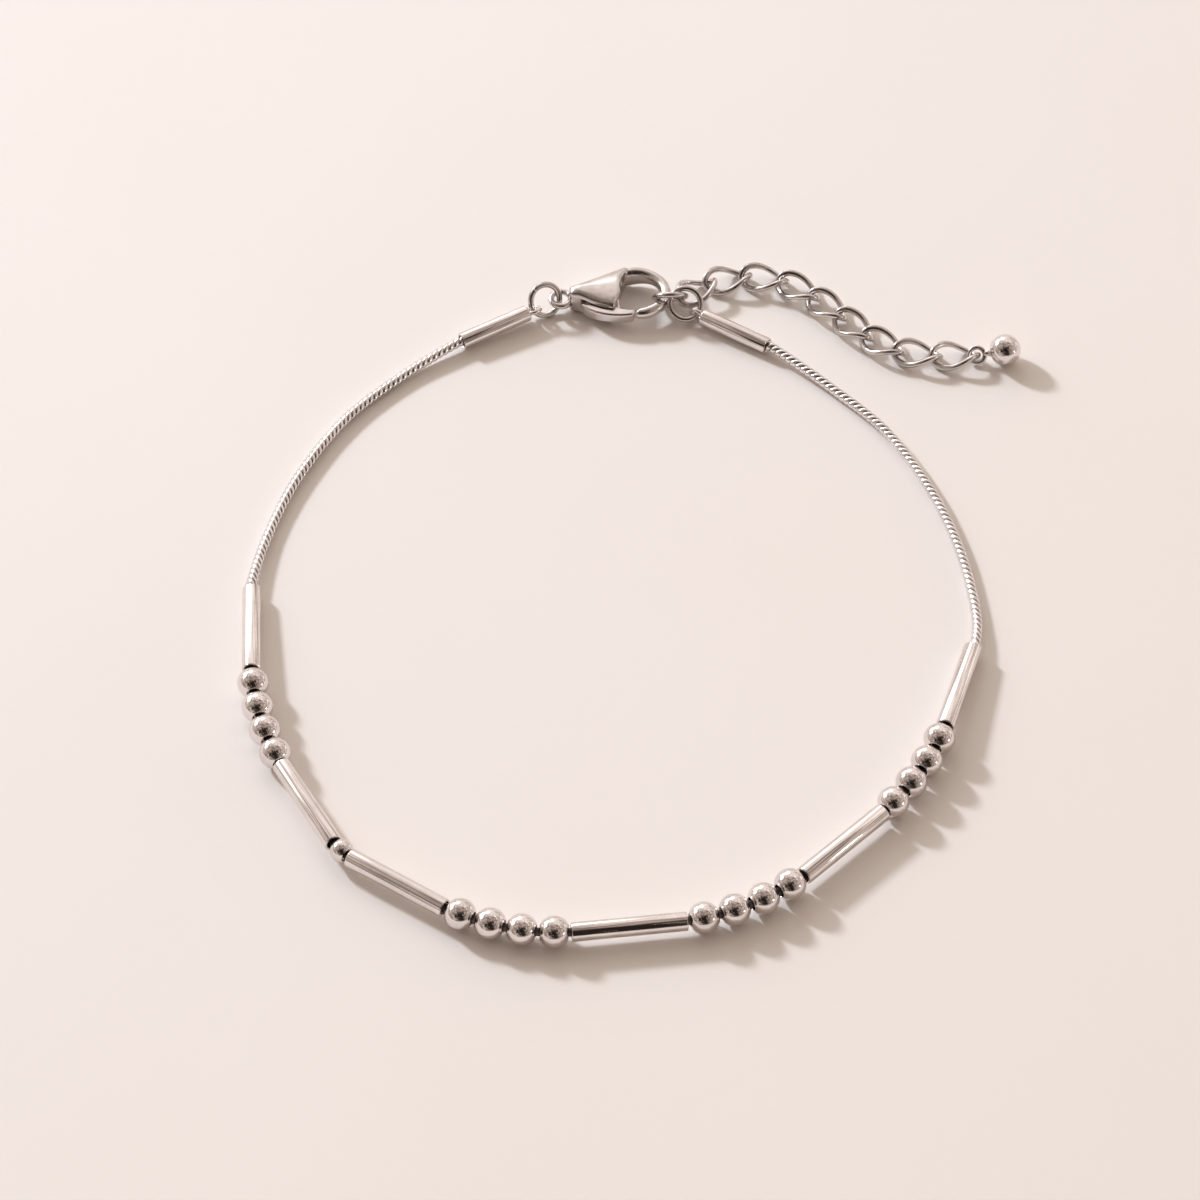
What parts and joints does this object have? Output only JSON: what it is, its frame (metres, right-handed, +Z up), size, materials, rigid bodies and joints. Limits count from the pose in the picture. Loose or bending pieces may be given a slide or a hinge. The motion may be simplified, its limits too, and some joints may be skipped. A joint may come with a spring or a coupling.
{
  "type": "chain bracelet",
  "caption": "Chain bracelet of round beads and plain bars on a fine snake chain, with a lobster clasp and an extender of curb links that ends in a ball.",
  "frame": {"origin": "under the middle of the bracelet's box, on the surface that it lies on", "axes": "+Z up from the surface, +Y from the front beads to the clasp at the back, +X towards the extender's free end"},
  "size_m": [0.063, 0.0718, 0.0027],
  "materials": {
    "polished_steel": "mirror-polished stainless steel with fine wear",
    "chain_steel": "polished steel with fine ribs across it"
  },
  "bodies": {
    "bracelet": {"snake_chain": "chain_steel", "bead_tube_1": "polished_steel", "bead_tube_2": "polished_steel", "bead_tube_3": "polished_steel", "bead_tube_4": "polished_steel", "bead_tube_5": "polished_steel", "bead_tube_6": "polished_steel", "bead_1": "polished_steel", "bead_2": "polished_steel", "bead_3": "polished_steel", "bead_4": "polished_steel", "bead_5": "polished_steel", "bead_6": "polished_steel", "bead_7": "polished_steel", "bead_8": "polished_steel", "bead_9": "polished_steel", "bead_10": "polished_steel", "bead_11": "polished_steel", "bead_12": "polished_steel", "bead_13": "polished_steel", "bead_14": "polished_steel", "bead_15": "polished_steel", "bead_16": "polished_steel", "spacer_bead": "polished_steel", "end_tube_left": "polished_steel", "end_tube_right": "polished_steel", "jump_ring_left": "polished_steel", "jump_ring_hook": "polished_steel", "jump_ring_right": "polished_steel", "clasp_body": "polished_steel", "clasp_rivet": "chain_steel", "extender_link_1": "polished_steel", "extender_link_2": "polished_steel", "extender_link_3": "polished_steel", "extender_link_4": "polished_steel", "extender_link_5": "polished_steel", "extender_link_6": "polished_steel", "extender_link_7": "polished_steel", "extender_link_8": "polished_steel", "extender_link_9": "polished_steel", "end_ball": "polished_steel"},
    "lever": {"clasp_lever": "polished_steel"}
  },
  "joints": [
    {"name": "clasp_lever_pivot", "type": "hinge", "parent": "bracelet", "child": "lever", "pos_m": [-0.00296, 0.03086, 0.00113], "axis": [0, 0, 1], "range_deg": [0, 25], "stiffness_Nm_per_rad": 0.00001}
  ]
}
